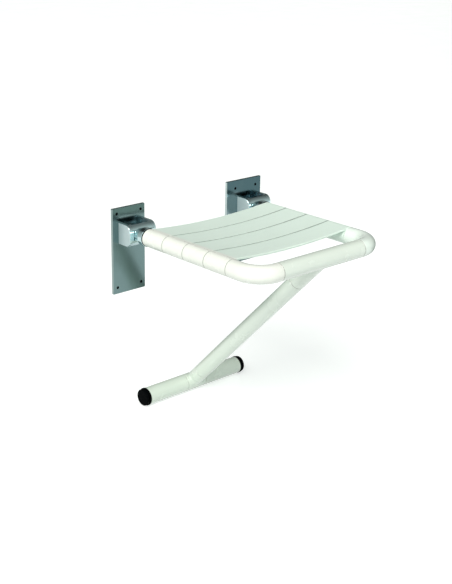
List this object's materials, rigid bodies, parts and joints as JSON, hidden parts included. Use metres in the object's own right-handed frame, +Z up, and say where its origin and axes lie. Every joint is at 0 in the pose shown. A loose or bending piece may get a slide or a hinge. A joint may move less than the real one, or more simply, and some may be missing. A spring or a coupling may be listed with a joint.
{
  "type": "wall-mounted lift-up shower seat",
  "caption": "Lift-up shower seat: slatted frame hinged on two wall plates, braced by a T-shaped leg that stands in the corner of wall and floor.",
  "frame": {"origin": "on the wall face, in the middle of the bolt pattern of the two wall plates", "axes": "+Y into the wall, along the fixing bolts; +Z up; +X along the wall, to the right as seen from the room"},
  "size_m": [0.462, 0.45, 0.5085],
  "materials": {
    "plate_steel": "brushed satin",
    "hinge_chrome": "polished",
    "pin_steel": "turned",
    "bush_plastic": "matte",
    "core_steel": "primed",
    "cover_plastic": "gloss",
    "slat_plastic": "satin",
    "cap_rubber": "matte"
  },
  "bodies": {
    "wall_mount": {"left_wall_plate": "plate_steel", "left_hinge_bracket": "hinge_chrome", "left_hinge_pin": "pin_steel", "right_wall_plate": "plate_steel", "right_hinge_bracket": "hinge_chrome", "right_hinge_pin": "pin_steel"},
    "seat": {"left_hinge_knuckle": "hinge_chrome", "left_hinge_bush_left": "bush_plastic", "left_hinge_bush_right": "bush_plastic", "left_corner_sleeve": "cover_plastic", "right_hinge_knuckle": "hinge_chrome", "right_hinge_bush_left": "bush_plastic", "right_hinge_bush_right": "bush_plastic", "right_corner_sleeve": "cover_plastic", "socket_screws": "pin_steel", "seat_core_tube": "core_steel", "leg_stop_pin": "pin_steel", "slat_1": "slat_plastic", "slat_2": "slat_plastic", "slat_3": "slat_plastic", "slat_4": "slat_plastic"},
    "support_leg": {"leg_pivot_tube": "core_steel", "left_pivot_bush": "bush_plastic", "right_pivot_bush": "bush_plastic", "front_tee_cover": "cover_plastic", "leg_tube": "core_steel", "leg_cover": "cover_plastic", "foot_tube": "core_steel", "foot_tee_cover": "cover_plastic", "left_foot_sleeve": "cover_plastic", "right_foot_sleeve": "cover_plastic", "left_foot_cap": "cap_rubber", "right_foot_cap": "cap_rubber"}
  },
  "joints": [
    {"name": "seat_fold", "type": "hinge", "parent": "wall_mount", "child": "seat", "pos_m": [0, -0.031, 0.043], "axis": [-1, 0, 0], "range_deg": [0, 90]},
    {"name": "leg_swing", "type": "hinge", "parent": "seat", "child": "support_leg", "pos_m": [0, -0.43, 0.043], "axis": [1, 0, 0], "range_deg": [0, 33]}
  ]
}
